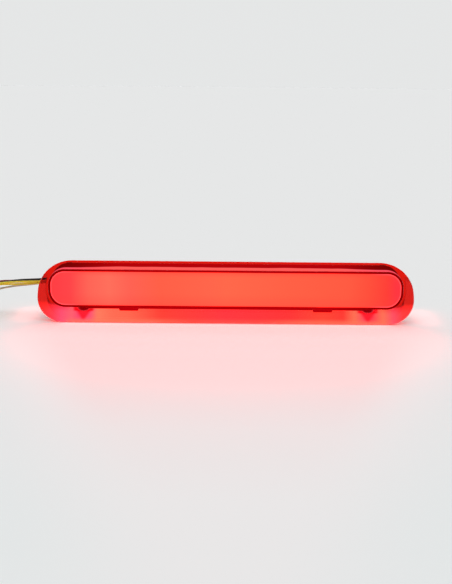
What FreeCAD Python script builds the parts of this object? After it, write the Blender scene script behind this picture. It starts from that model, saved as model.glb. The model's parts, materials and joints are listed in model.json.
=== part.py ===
import FreeCAD, Part
import math
import os

# Third brake light for a van's rear door: a clear red lens with a wide flange that lies on the sloping
# panel, a light box whose face stands upright, a frosted front diffuser, an LED board on its carrier, a
# black rear housing with two studs, and five leads to an inline connector. Millimetres, +Z up, front -Y.
# The lamp stands on its flange's lower edge and its housing's lower rear edge, its face upright.

lean = 32.0                  # angle of the panel, and so of the flange, from upright
panel_y = -32.06             # where the flange's back meets the floor, so that the lamp is centred on Y

flange_width = 373.0
flange_height = 64.3         # along the panel
flange_thick = 2.5
flange_top_r = 32.0
flange_bottom_r = 27.0
flange_edge_r = 0.8

box_width = 347.0            # light box, outside
box_height = 38.2
box_bottom = 15.2
box_corner_r = 16.5
box_wall = 2.2
face_setback = -0.6          # face, measured from panel_y
seat_wall = 2.0              # wall beside the diffuser's seat
seat_depth = 3.8
ledge_wall = 3.2
ledge_depth = 1.6

diffuser_thick = 3.6
diffuser_plate = 2.4
diffuser_gap = 0.15
clip_x = 95.0                # tongues and pockets under the box
pocket_width = 19.0
pocket_drop = 3.3

tub_half = 170.0             # rear housing, in the panel's plane
tub_low = 20.8
tub_high = 55.5
tub_low_r = 12.0
tub_high_r = 4.2
tub_wall = 2.2
tub_edge_r = 4.0
rim_lip = 1.8
rim_depth = 3.0

low_screw = (142.0, 16.0)    # lens screws, in the panel's plane
high_screw = (157.0, 60.3)
boss_r = 3.5
boss_length = 6.0

stud_x = 120.0
stud_up = 40.0
stud_r = 2.5
stud_free = 14.0
stud_root_r = 3.0
stud_held = 8.0

board_gap = 18.8             # face to board
board_half = 165.5
board_height = 27.0
board_thick = 1.6
led_count = 20
led_pitch = 16.4
rib_places = (-130.0, -65.0, 0.0, 65.0, 130.0)

wire_d = 1.9
exit_up = 46.8               # wire exit on the housing's left end, in the panel's plane
exit_back = 10.5
exit_x = -175.5
lead_ring = 2.1              # the leads stand in a ring of this radius in the grommet

plug_rear = 41.0
plug_height = 4.7            # the leads' height in the connector
plug_length = 25.0
plug_pitch = 4.0
plug_half = 11.5
plug_middle = -294.3

tilt = math.radians(lean)
across = math.sin(tilt)
upward = math.cos(tilt)
floor_drop = flange_edge_r * (upward + across - 1)
tub_depth = tub_edge_r + ((tub_low + tub_edge_r) * upward - tub_edge_r - floor_drop) / across
face_y = panel_y + face_setback
box_mid = box_bottom + box_height / 2 - floor_drop
board_y = face_y + board_gap
hole = 0.1                   # how far a cutting tool overruns the face it cuts


# ---- frames -------------------------------------------------------------------------------------------

def vec(x, y, z):
    return FreeCAD.Vector(x, y, z)


def on_panel(shape):
    """Local X, Y, Z are the panel's width, its slope upwards and its outward normal."""
    turn = FreeCAD.Rotation(vec(1, 0, 0), 90 - lean)
    shape = shape.copy()
    shape.Placement = FreeCAD.Placement(vec(0, panel_y, -floor_drop), turn)
    return shape


def panel_point(x, up, out):
    return vec(x, panel_y + up * across - out * upward, up * upward + out * across - floor_drop)


def outline(half, low, high, low_r, high_r):
    """A closed outline about X = 0 with two lower and two upper round corners."""
    k = math.sqrt(0.5)
    corners = [
        (half, low, -1, 1, low_r),
        (half, high, -1, -1, high_r),
        (-half, high, 1, -1, high_r),
        (-half, low, 1, 1, low_r),
    ]
    spots = []
    for x, y, sx, sy, r in corners:
        beside_x = vec(x + sx * r, y, 0)
        beside_y = vec(x, y + sy * r, 0)
        middle = vec(x + sx * r * (1 - k), y + sy * r * (1 - k), 0)
        spots.append((beside_x, middle, beside_y) if sx * sy < 0 else (beside_y, middle, beside_x))
    edges = []
    for i, (start, middle, end) in enumerate(spots):
        following = spots[(i + 1) % 4][0]
        edges.append(Part.Arc(start, middle, end).toShape())
        if end.distanceToPoint(following) > 0.001:
            edges.append(Part.LineSegment(end, following).toShape())
    return Part.Wire(edges)


def slab(wire, low, high):
    face = Part.Face(wire)
    face.translate(vec(0, 0, low))
    return face.extrude(vec(0, 0, high - low))


def upright(wire, front, back):
    """A prism along Y whose outline is drawn in X and Z."""
    body = slab(wire, -back, -front)
    body.rotate(vec(0, 0, 0), vec(1, 0, 0), 90)
    return body


def box_outline(inset, half=box_width / 2):
    low = box_mid - box_height / 2 + inset
    high = box_mid + box_height / 2 - inset
    return outline(half - inset, low, high, box_corner_r - inset, box_corner_r - inset)


def tub_outline(grow):
    return outline(tub_half + grow, tub_low - grow, tub_high + grow, tub_low_r + grow, tub_high_r + grow)


def block(x0, x1, y0, y1, z0, z1):
    return Part.makeBox(x1 - x0, y1 - y0, z1 - z0, vec(x0, y0, z0))


def rod(r, start, end):
    along = end - start
    return Part.makeCylinder(r, along.Length, start, along)


def edges_at(shape, keep):
    return [e for e in shape.Edges if keep(e)]


def both_sides(x, up):
    return [(-x, up), (x, up)]


lens_screws = both_sides(*low_screw) + both_sides(*high_screw)


# ---- lens and diffuser --------------------------------------------------------------------------------

def flange():
    plate = slab(outline(flange_width / 2, 0, flange_height, flange_bottom_r, flange_top_r), 0, flange_thick)
    rims = edges_at(plate, lambda e: e.BoundBox.ZLength < 0.01)
    return plate.makeFillet(flange_edge_r, rims)


def pocket(x):
    """The outside of a tongue's pocket under the box, with round lower corners."""
    low = box_mid - box_height / 2 - pocket_drop
    reach = pocket_width / 2
    body = block(x - reach, x + reach, face_y + 0.9, face_y + 7.4, low, low + pocket_drop + 1)
    lower = [e for e in body.Edges if e.BoundBox.ZMax < low + 0.01 and e.BoundBox.YLength > 1]
    return body.makeFillet(1.4, lower)


def tongue(x, play):
    """A diffuser tongue, or with play the room for it in the pocket."""
    bottom = box_mid - box_height / 2 + seat_wall
    return block(x - 6 - play, x + 6 + play, face_y + 1.2 - play, face_y + 3.4 + play,
                 bottom - 3.0 - play, bottom + 1.5)


def hook(x, play):
    """A spring hook at the top of the diffuser, which passes the ledge and catches behind it."""
    top = box_mid + box_height / 2 - seat_wall
    left = x - 5 - play
    right = x + 5 + play
    tip = face_y + 7.0 + play
    leg = block(left, right, face_y + 3.0, tip, top - 3.2 - play, top - 1.7 + play)
    barb = block(left, right, face_y + 5.6, tip, top - 2.4, top - 0.9 + play)
    return leg.fuse(barb)


def outer_lens():
    box = upright(box_outline(0), face_y, 30)
    rim = [e for e in box.Edges if e.BoundBox.YMax < face_y + 0.01]
    box = box.makeFillet(0.7, rim)
    ahead = on_panel(block(-200, 200, -20, 90, 1, 60))
    body = on_panel(flange()).fuse(box.common(ahead))
    for x in (-clip_x, clip_x):
        body = body.fuse(pocket(x))
    clear = on_panel(block(-200, 200, -20, 90, flange_thick, 60))
    body = body.cut(upright(box_outline(box_wall), face_y + seat_depth + ledge_depth, 30).common(clear))
    body = body.cut(upright(box_outline(seat_wall), face_y - hole, face_y + seat_depth))
    ledge_end = face_y + seat_depth + ledge_depth + hole
    body = body.cut(upright(box_outline(ledge_wall), face_y, ledge_end))
    throat = on_panel(slab(tub_outline(-tub_wall), -1, flange_thick + hole))
    body = body.cut(upright(box_outline(box_wall), face_y, 30).common(throat))
    for x in (-clip_x, clip_x):
        body = body.cut(tongue(x, 0.2))
        body = body.cut(hook(x, 0.3))
    for x, up in lens_screws:
        boss = Part.makeCylinder(boss_r, boss_length + 0.5, vec(x, up, -boss_length))
        pilot = Part.makeCylinder(1.5, boss_length - 0.5, vec(x, up, -boss_length - hole))
        body = body.fuse(on_panel(boss)).cut(on_panel(pilot))
    return body.removeSplitter()


def front_diffuser():
    inset = seat_wall + diffuser_gap
    plate = upright(box_outline(inset), face_y, face_y + diffuser_thick)
    edge = [e for e in plate.Edges if e.BoundBox.YMax < face_y + 0.01]
    plate = plate.makeFillet(0.9, edge)
    hollow = upright(box_outline(inset + 2.2), face_y + diffuser_plate, face_y + diffuser_thick + hole)
    body = plate.cut(hollow)
    for x in (-clip_x, clip_x):
        body = body.fuse(tongue(x, 0)).fuse(hook(x, 0))
    return body.removeSplitter()


def lens_seal():
    ring = slab(tub_outline(0.6), -1.5, 0)
    return on_panel(ring.cut(slab(tub_outline(-1.0), -2, 1)))


def panel_gasket():
    """A pale foam ring on the flange's back, around the housing, open at the lens screws."""
    ring = slab(outline(177.0, 2.9, 61.6, 24.0, 18.0), -3, 0)
    ring = ring.cut(slab(tub_outline(rim_lip + 0.4), -4, 1))
    for x, up in lens_screws:
        ring = ring.cut(Part.makeCylinder(boss_r + 0.7, 6, vec(x, up, -4)))
    return on_panel(max(ring.Solids, key=lambda s: s.Volume))


# ---- rear housing -------------------------------------------------------------------------------------

def housing():
    back = -tub_depth
    shell = slab(tub_outline(0), back, 0)
    rear = [e for e in shell.Edges if e.BoundBox.ZMax < back + 0.01]
    shell = shell.makeFillet(tub_edge_r, rear)
    shell = shell.fuse(slab(tub_outline(rim_lip), -rim_depth, 0))
    posts = [(low_screw, 4.75, -17.0), (high_screw, 3.9, -20.0)]
    for (x, up), r, end in posts:
        for side in (-x, x):
            shell = shell.fuse(Part.makeCylinder(r, -boss_length - 0.3 - end, vec(side, up, end)))
            web_low = min(up, tub_low + 1) if up < tub_low else tub_high - 1
            web_high = tub_low + 1 if up < tub_low else up
            shell = shell.fuse(block(side - 2.2, side + 2.2, web_low, web_high, end, -boss_length - 0.3))
    for x in (-stud_x, stud_x):
        shell = shell.fuse(Part.makeCylinder(8, 2 + tub_edge_r, vec(x, stud_up, back - 2)))
    hollow = slab(tub_outline(-tub_wall), back + tub_wall, 1)
    floor = [e for e in hollow.Edges if e.BoundBox.ZMax < back + tub_wall + 0.01]
    shell = shell.cut(hollow.makeFillet(1.8, floor))
    socket_r = stud_root_r + 0.05
    for x in (-stud_x, stud_x):
        shell = shell.fuse(Part.makeCylinder(6, stud_held + 1.5, vec(x, stud_up, back + 0.5)))
        shell = shell.cut(Part.makeCylinder(socket_r, stud_held + 2, vec(x, stud_up, back - 2 - hole)))
    groove = slab(tub_outline(0.7), -1.6, 1).cut(slab(tub_outline(-1.1), -2, 2))
    shell = shell.cut(groove)
    room = boss_length + 0.3
    for (x, up), r, end in posts:
        for side in (-x, x):
            shell = shell.cut(Part.makeCylinder(boss_r + 0.3, room, vec(side, up, -room)))
            shell = shell.cut(Part.makeCylinder(1.7, 30, vec(side, up, -28)))
            shell = shell.cut(Part.makeCylinder(3.1, 3 + hole, vec(side, up, end - hole)))
    for x, up in carrier_screws_at():
        shell = shell.cut(Part.makeCylinder(1.7, 8, vec(x, up, back - 1)))
        shell = shell.cut(Part.makeCone(3.1, 1.6, 1.6, vec(x, up, back - 0.01)))
    shell = shell.cut(Part.makeCylinder(1.5, 8, vec(vent_x, stud_up, back - 1)))
    shell = shell.cut(Part.makeCylinder(6.2, 0.8, vec(vent_x, stud_up, back - hole)))
    port = rod(4.0, vec(-tub_half - 5, exit_up, -exit_back), vec(-tub_half + 8, exit_up, -exit_back))
    return on_panel(shell.cut(port).removeSplitter())


vent_x = 40.0


def carrier_screws_at():
    return [(x, 36.0) for x in (-130.0, -65.0, 65.0, 130.0)]


def vent_patch():
    return on_panel(Part.makeCylinder(5.8, 0.5, vec(vent_x, stud_up, -tub_depth + 0.15)))


def mounting_studs():
    studs = []
    for x in (-stud_x, stud_x):
        seat = -tub_depth - 2
        stud = Part.makeCylinder(stud_r, stud_free, vec(x, stud_up, seat - stud_free))
        tip = [e for e in stud.Edges if e.BoundBox.ZMax < seat - stud_free + 0.01]
        root = Part.makeCylinder(stud_root_r, stud_held, vec(x, stud_up, seat))
        studs.append(on_panel(stud.makeChamfer(0.6, tip).fuse(root)))
    return Part.Compound(studs)


def screw(x, up, seat, length, r, head_r, head, sunk=False):
    """A screw along the panel's normal whose head faces backwards. seat is where the head bears."""
    body = Part.makeCylinder(r, length, vec(x, up, seat))
    if sunk:
        top = Part.makeCone(head_r, r, head, vec(x, up, seat))
        slot_at = seat
    else:
        top = Part.makeCylinder(head_r, head, vec(x, up, seat - head))
        slot_at = seat - head
    body = body.fuse(top)
    for dx, dy in ((1.6, 0.35), (0.35, 1.6)):
        body = body.cut(block(x - dx, x + dx, up - dy, up + dy, slot_at - hole, slot_at + 0.9))
    return on_panel(body.removeSplitter())


def lens_screw_set():
    made = []
    for (x, up), end in ((low_screw, -17.0), (high_screw, -20.0)):
        for side in (-x, x):
            made.append(screw(side, up, end + 3.0, -end - 3.0 - 1.2, 1.45, 2.9, 2.2))
    return Part.Compound(made)


def carrier_screw_set():
    seat = -tub_depth + 0.05
    return Part.Compound([screw(x, up, seat, 9.5, 1.3, 2.8, 1.5, True) for x, up in carrier_screws_at()])


# ---- board, carrier and reflector ---------------------------------------------------------------------

def board_outline(inset):
    low = box_mid - board_height / 2 + inset
    return outline(board_half - inset, low, low + board_height - 2 * inset, 3.0, 3.0)


board_screws_at = [(-120.0, 10.5), (120.0, 10.5), (-40.0, -10.5), (40.0, -10.5)]


def led_board():
    board = upright(board_outline(0), board_y, board_y + board_thick)
    for x, dz in board_screws_at:
        spot = vec(x, board_y - 1, box_mid + dz)
        board = board.cut(rod(1.6, spot, spot + vec(0, 4, 0)))
    return board


def board_screws():
    made = []
    for x, dz in board_screws_at:
        face = vec(x, board_y - 0.05, box_mid + dz)
        body = rod(1.35, face, face + vec(0, 5.5, 0)).fuse(rod(2.6, face - vec(0, 1.5, 0), face))
        slot = block(x - 1.5, x + 1.5, board_y - 2, board_y - 0.8, box_mid + dz - 0.3, box_mid + dz + 0.3)
        made.append(body.cut(slot))
    return Part.Compound(made)


def reflector_frame():
    inset = box_wall + 0.5
    front = face_y + seat_depth + ledge_depth + 0.2
    half = tub_half - tub_wall - 1.8 + inset
    back = board_y - 0.2
    body = upright(box_outline(inset, half), front, back)
    body = body.cut(upright(box_outline(inset + 1.3, half), front - hole, back - 1.2))
    body = body.cut(upright(box_outline(inset + 3.2, half), front, back + hole))
    body = body.cut(on_panel(block(-200, 200, -10, tub_low + tub_wall + 0.5, -40, flange_thick + 0.3)))
    for x in (-clip_x, clip_x):
        body = body.cut(hook(x, 0.5))
    return max(body.Solids, key=lambda s: s.Volume)


def board_carrier():
    """A ring behind the board on five ribs, which stand on the housing's floor."""
    front = board_y + board_thick + 0.1
    body = upright(board_outline(1.0), front, front + 2)
    window = upright(board_outline(4.5), front - hole, front + 2 + hole)
    body = body.cut(window)
    floor_out = -tub_depth + tub_wall + 0.3
    foot_high = panel_point(0, 46, floor_out)
    foot_low = panel_point(0, 29, floor_out)
    for x in rib_places:
        spots = [
            vec(x - 1.25, front, box_mid - board_height / 2 + 1.5),
            vec(x - 1.25, front, box_mid + board_height / 2 - 1.5),
            vec(x - 1.25, front + 5, box_mid + board_height / 2 - 6),
            vec(x - 1.25, foot_high.y, foot_high.z),
            vec(x - 1.25, foot_low.y, foot_low.z),
        ]
        rib = Part.Face(Part.makePolygon(spots + spots[:1])).extrude(vec(2.5, 0, 0))
        space = block(x - 2, x + 2, front - 1, front + 1.6, box_mid - 9, box_mid + 9)
        body = body.fuse(rib.cut(space))
    for x, up in carrier_screws_at():
        body = body.fuse(on_panel(Part.makeCylinder(3.6, 11, vec(x, up, floor_out))))
        body = body.cut(on_panel(Part.makeCylinder(1.35, 10, vec(x, up, floor_out - hole))))
    for x, dz in board_screws_at:
        spot = vec(x, front, box_mid + dz)
        body = body.fuse(rod(2.8, spot, spot + vec(0, 5, 0)))
        body = body.cut(rod(1.4, spot - vec(0, 1, 0), spot + vec(0, 5, 0)))
    return body.removeSplitter()


def led_places():
    start = -led_pitch * (led_count - 1) / 2
    return [start + i * led_pitch for i in range(led_count)]


def led_packages():
    made = []
    for x in led_places():
        body = block(x - 1.75, x + 1.75, board_y - 1.7, board_y, box_mid - 1.4, box_mid + 1.4)
        mouth = vec(x, board_y - 1.7, box_mid)
        made.append(body.cut(Part.makeCone(1.2, 0.9, 0.8, mouth, vec(0, 1, 0))))
    return Part.Compound(made)


def led_windows():
    made = []
    for x in led_places():
        mouth = vec(x, board_y - 1.65, box_mid)
        made.append(Part.makeCone(1.15, 0.88, 0.7, mouth, vec(0, 1, 0)))
    return Part.Compound(made)


def back_chip(x, dz, long, high, tall):
    back = board_y + board_thick
    low = box_mid + dz - high / 2
    return block(x - long / 2, x + long / 2, back, back + tall, low, low + high)


def resistors():
    return Part.Compound([back_chip(-52 + 26 * i + 5 * (i > 2), 3, 3.2, 1.6, 0.6) for i in range(8)])


def driver_chip():
    body = back_chip(-95, 0, 5.0, 4.0, 1.5)
    for i in range(4):
        for side in (-1, 1):
            body = body.fuse(back_chip(-96.9 + 1.27 * i, side * 2.5, 0.45, 1.2, 0.3))
    return body.removeSplitter()


def input_diode():
    return back_chip(-110, -2, 4.6, 3.6, 2.3)


def surge_diode():
    return back_chip(-120, 3, 4.6, 3.6, 2.3)


def smoothing_capacitor():
    back = board_y + board_thick
    base = back_chip(-80, 0, 6.6, 6.6, 0.8)
    can = rod(3.15, vec(-80, back + 0.8, box_mid), vec(-80, back + 5.8, box_mid))
    top = [e for e in can.Edges if e.BoundBox.YMin > back + 5.7]
    return base.fuse(can.makeFillet(0.5, top))


# ---- leads, grommet and connector ---------------------------------------------------------------------

exit_point = panel_point(exit_x, exit_up, -exit_back)
lead_angles = {"black": 90, "red": 18, "yellow_front": 162, "yellow_low": 234, "white": 306}


def lead_start(colour, x):
    """Where a lead stands in the grommet: in a ring, seen from the left end, with black on top."""
    angle = math.radians(lead_angles[colour])
    return vec(x, exit_point.y + lead_ring * math.cos(angle), exit_point.z + lead_ring * math.sin(angle))


def bent_path(points):
    """Straight runs joined by tangent arcs, each as large as its two runs allow."""
    edges = []
    tightest = 1e9
    here = points[0]
    for before, corner, after in zip(points, points[1:], points[2:]):
        into = (corner - before).normalize()
        out = (after - corner).normalize()
        half_turn = into.getAngle(out) / 2
        shorter = min(corner.distanceToPoint(before), after.distanceToPoint(corner))
        reach = 0.45 * shorter
        radius = reach / math.tan(half_turn)
        tightest = min(tightest, radius)
        start = corner - into * reach
        end = corner + out * reach
        inward = (out - into).normalize()
        middle = corner + inward * (radius / math.cos(half_turn) - radius)
        edges.append(Part.LineSegment(here, start).toShape())
        edges.append(Part.Arc(start, middle, end).toShape())
        here = end
    edges.append(Part.LineSegment(here, points[-1]).toShape())
    return Part.Wire(edges), tightest


def lead(name, points, diameter=wire_d):
    path, tightest = bent_path(points)
    first = path.Edges[0]
    start = first.valueAt(first.FirstParameter)
    ring = Part.Wire(Part.makeCircle(diameter / 2, start, first.tangentAt(first.FirstParameter)))
    tube = path.makePipeShell([ring], True, True)
    ideal = math.pi * diameter ** 2 / 4 * path.Length
    share = tube.Volume / ideal
    print(f"{name}: length {path.Length:.1f}, tightest radius {tightest:.1f}, volume ratio {share:.4f}")
    return tube


# The five free leads: straight out of the grommet, a short way through the air, down to the floor, and
# round in one loose U to the connector, where they end inside its rear.
routes = {
    "black": [(-175.5, 1.65, 35.93), (-185, 1.65, 35.93), (-196, 1.9, 37.0), (-212, 2.4, 35.6),
              (-230, 2.2, 31.3), (-243.5, 2.2, 26.5), (-255, 0.2, 17.6), (-262.2, -4.8, 8.5),
              (-263.6, -12.8, 1.8), (-263.5, -25.4, 1.0), (-278, -33.7, 1.0), (-292.5, -25.4, 1.0),
              (-292.9, -9, 1.0), (-292, 9, 1.4), (-290.8, 24, 3.6), (-290.3, 35, 4.7), (-290.3, 46, 4.7)],
    "red": [(-175.5, 3.65, 34.48), (-185, 3.65, 34.48), (-198, 4.0, 34.3), (-213, 4.7, 34.0),
            (-230, 5.2, 32.9), (-244.5, 5.3, 28.8), (-257, 3.0, 20.0), (-265, -2.2, 10.3),
            (-266.6, -11.2, 2.6), (-266.5, -23.6, 1.0), (-278, -30.3, 1.0), (-289.5, -23.6, 1.0),
            (-289.8, -9, 1.0), (-288.6, 9, 1.4), (-286.8, 24, 3.6), (-286.3, 35, 4.7), (-286.3, 46, 4.7)],
    "yellow_front": [(-175.5, -0.35, 34.48), (-185, -0.35, 34.48), (-198, -1.3, 34.9), (-214, -1.9, 34.7),
                     (-230, -2.6, 33.3), (-241.5, -3.5, 28.0), (-249, -6.5, 18.5), (-252.6, -10.5, 9.4),
                     (-254.5, -16.5, 1.8), (-254.5, -30.6, 1.0), (-278, -44.1, 1.0), (-301.5, -30.6, 1.0),
                     (-302.2, -11, 1.0), (-302.6, 8, 1.4), (-302.4, 24, 3.6), (-302.3, 35, 4.7),
                     (-302.3, 46, 4.7)],
    "yellow_low": [(-175.5, 0.41, 32.13), (-185, 0.41, 32.13), (-197, 0.0, 32.3), (-212, -0.5, 31.7),
                   (-230, -1.2, 30.6), (-242, -2.2, 25.3), (-251.5, -4.6, 16.5), (-256, -8.8, 8.3),
                   (-257.6, -15.2, 1.6), (-257.5, -28.8, 1.0), (-278, -40.7, 1.0), (-298.5, -28.8, 1.0),
                   (-298.9, -10.5, 1.0), (-298.8, 8, 1.4), (-298.4, 24, 3.6), (-298.3, 35, 4.7),
                   (-298.3, 46, 4.7)],
    "white": [(-175.5, 2.88, 32.13), (-185, 2.88, 32.13), (-197, 2.6, 31.5), (-212, 2.3, 29.8),
              (-230, 1.6, 26.5), (-242.5, 0.8, 22.0), (-254, -1.6, 14.2), (-259.4, -7.0, 6.5),
              (-260.6, -13.8, 1.4), (-260.5, -27.1, 1.0), (-278, -37.2, 1.0), (-295.5, -27.1, 1.0),
              (-295.7, -10, 1.0), (-295.2, 8.5, 1.4), (-294.5, 24, 3.6), (-294.3, 35, 4.7),
              (-294.3, 46, 4.7)],
}
wire_end = plug_rear + 5.0
plug_places = [plug_middle + plug_pitch * i for i in range(-2, 3)]


def inner_leads():
    """From the pads on the board's back to the grommet's outer face."""
    made = []
    for colour, pad in pads().items():
        gate = lead_start(colour, -163)
        pad = pad + vec(0, 0.8, 0)
        knee = vec(pad.x - 0.5, gate.y, (pad.z + gate.z) / 2)
        made.append(lead("inner lead", [pad, knee, gate, lead_start(colour, exit_x)]))
    return Part.Compound(made)


def pads():
    """The leads' pads on the board's back, in an order that lets the leads run without crossing."""
    back = board_y + board_thick
    order = ["black", "yellow_front", "red", "yellow_low", "white"]
    return {c: vec(-151 + 1.1 * i, back, box_mid + 7 - 3.5 * i) for i, c in enumerate(order)}


def solder_joints():
    return Part.Compound([Part.makeCone(1.3, 0.95, 0.55, foot, vec(0, 1, 0)) for foot in pads().values()])


def wire_grommet():
    """Rubber, held in the housing's end wall by its groove, with a tapered nose outside."""
    wall_out = -tub_half
    wall_in = wall_out + tub_wall
    centre = vec(0, exit_point.y, exit_point.z)
    neck = rod(3.9, centre + vec(wall_in + 0.5, 0, 0), centre + vec(wall_out - 0.5, 0, 0))
    inner = rod(4.9, centre + vec(wall_in + 1.8, 0, 0), centre + vec(wall_in + 0.05, 0, 0))
    outer = rod(4.9, centre + vec(wall_out - 0.05, 0, 0), centre + vec(wall_out - 1.7, 0, 0))
    nose = Part.makeCone(4.4, 3.6, 3.8, centre + vec(wall_out - 1.7, 0, 0), vec(-1, 0, 0))
    body = neck.fuse(inner).fuse(outer).fuse(nose)
    for colour in lead_angles:
        inside = lead_start(colour, wall_in + 5)
        body = body.cut(rod(wire_d / 2 + 0.05, inside, lead_start(colour, exit_x - 3)))
    return body.removeSplitter()


def connector_housing():
    mid = plug_middle
    body = block(mid - plug_half, mid + plug_half, plug_rear, plug_rear + plug_length, 0, 2 * plug_height)
    body = body.makeFillet(1.0, edges_at(body, lambda e: e.BoundBox.YLength > 10))
    top = 2 * plug_height
    latch = block(mid - 3, mid + 3, plug_rear + 6, plug_rear + 21, top + 1.0, top + 2.0)
    root = block(mid - 3, mid + 3, plug_rear + 18, plug_rear + 21, top - 1, top + 1.5)
    nib = block(mid - 1.5, mid + 1.5, plug_rear + 12, plug_rear + 14, top + 1.5, top + 2.8)
    body = body.fuse(latch).fuse(root).fuse(nib)
    for x in plug_places:
        rear = vec(x, plug_rear - hole, plug_height)
        body = body.cut(rod(1.75, rear, rear + vec(0, 6, 0)))
        body = body.cut(block(x - 1.3, x + 1.3, plug_rear + 5, plug_rear + plug_length + 1,
                              plug_height - 1.3, plug_height + 1.3))
    return body.cut(lock_bar(0)).removeSplitter()


def lock_bar(inset):
    """The slide-in bar that holds the terminals, and with no inset the slot that it fills."""
    reach = plug_half + 0.5 - 4 * inset
    return block(plug_middle - reach, plug_middle + plug_half - 1 - inset, plug_rear + 9 + inset,
                 plug_rear + 12 - inset, plug_height + 1.5 + inset, plug_height + 3.0 - inset)


def connector_lock():
    return lock_bar(0.1)


def connector_seals():
    made = []
    for x in plug_places:
        rear = vec(x, plug_rear, plug_height)
        plug = rod(1.7, rear, rear + vec(0, 4.5, 0))
        made.append(plug.cut(rod(wire_d / 2 + 0.03, rear - vec(0, 1, 0), rear + vec(0, 6, 0))))
    return Part.Compound(made)


def connector_terminals():
    made = []
    start = wire_end + 0.1
    tip = plug_rear + plug_length - 2.5
    for x in plug_places:
        crimp = rod(1.0, vec(x, start, plug_height), vec(x, start + 4, plug_height))
        blade = block(x - 0.9, x + 0.9, start + 3.5, tip, plug_height - 0.35, plug_height + 0.35)
        made.append(crimp.fuse(blade))
    return Part.Compound(made)


# ---- export -------------------------------------------------------------------------------------------

nodes = {
    "outer_lens": outer_lens(),
    "front_diffuser": front_diffuser(),
    "lens_seal": lens_seal(),
    "panel_gasket": panel_gasket(),
    "rear_housing": housing(),
    "vent_patch": vent_patch(),
    "mounting_studs": mounting_studs(),
    "lens_screws": lens_screw_set(),
    "carrier_screws": carrier_screw_set(),
    "led_board": led_board(),
    "board_screws": board_screws(),
    "reflector_frame": reflector_frame(),
    "board_carrier": board_carrier(),
    "led_packages": led_packages(),
    "led_windows": led_windows(),
    "resistors": resistors(),
    "driver_chip": driver_chip(),
    "input_diode": input_diode(),
    "surge_diode": surge_diode(),
    "smoothing_capacitor": smoothing_capacitor(),
    "solder_joints": solder_joints(),
    "inner_leads": inner_leads(),
    "wire_grommet": wire_grommet(),
    "connector_housing": connector_housing(),
    "connector_lock": connector_lock(),
    "connector_seals": connector_seals(),
    "connector_terminals": connector_terminals(),
}
for colour, route in routes.items():
    nodes["wire_" + colour] = lead("wire_" + colour, [vec(*point) for point in route])

os.makedirs("parts", exist_ok=True)
for name, shape in nodes.items():
    shape.exportStep("parts/" + name + ".step")
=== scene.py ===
import json
import math

import bmesh
import bpy
from mathutils import Matrix, Vector


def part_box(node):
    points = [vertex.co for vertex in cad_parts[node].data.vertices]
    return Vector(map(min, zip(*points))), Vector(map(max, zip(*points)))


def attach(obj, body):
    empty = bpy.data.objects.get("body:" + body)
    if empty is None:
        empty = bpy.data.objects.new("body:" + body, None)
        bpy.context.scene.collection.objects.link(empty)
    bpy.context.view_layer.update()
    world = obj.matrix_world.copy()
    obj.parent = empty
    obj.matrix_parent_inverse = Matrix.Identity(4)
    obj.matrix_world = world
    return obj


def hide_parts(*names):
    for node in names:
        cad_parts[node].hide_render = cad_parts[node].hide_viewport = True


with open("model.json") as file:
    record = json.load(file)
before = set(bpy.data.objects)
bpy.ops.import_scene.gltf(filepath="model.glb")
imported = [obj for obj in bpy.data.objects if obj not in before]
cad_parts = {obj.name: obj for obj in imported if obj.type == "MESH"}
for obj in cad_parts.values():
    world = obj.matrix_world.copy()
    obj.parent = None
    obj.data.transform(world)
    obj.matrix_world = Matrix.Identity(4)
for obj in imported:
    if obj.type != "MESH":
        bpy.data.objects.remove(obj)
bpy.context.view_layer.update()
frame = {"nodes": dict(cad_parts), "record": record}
nodes = frame["nodes"]
print("frame loaded:", len(nodes), "nodes")

lampPlan = {
    "lean": 32.0,            # the flange leans back this far from upright
    "bossX": 0.142,          # lower lens screws, from the middle
    "panelY": -0.03206,      # where the flange's back would meet the floor
    "floorDrop": 0.000302,   # the flange's rounded edge lets it down by this much
}
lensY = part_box("outer_lens")[0].y
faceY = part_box("front_diffuser")[0].y
across = math.sin(math.radians(lampPlan["lean"]))
upward = math.cos(math.radians(lampPlan["lean"]))


# the camera

cameraPlan = {
    "aim": (0.0002, -0.0121, 0.0268),
    "distance": 1.0,
    "elevation": 13.0,       # degrees above the table
    "roll": 0.5,
    "lens": 79.9,
    "sensor": 36,
}


def addCamera(plan):
    tilt = math.radians(90 - plan["elevation"])
    turn = Matrix.Rotation(tilt, 4, "X") @ Matrix.Rotation(math.radians(plan["roll"]), 4, "Z")
    away = turn @ Vector((0, 0, plan["distance"], 0))
    bpy.ops.object.camera_add()
    camera = bpy.context.object
    camera.name = "front_camera"
    camera.matrix_world = Matrix.Translation(Vector(plan["aim"]) + away.xyz) @ turn
    camera.data.lens = plan["lens"]
    camera.data.sensor_fit = "HORIZONTAL"
    camera.data.sensor_width = plan["sensor"]
    camera.data.clip_start = 0.01
    bpy.context.scene.camera = camera


addCamera(cameraPlan)
print("camera set")


# shader maths and finishes

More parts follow.
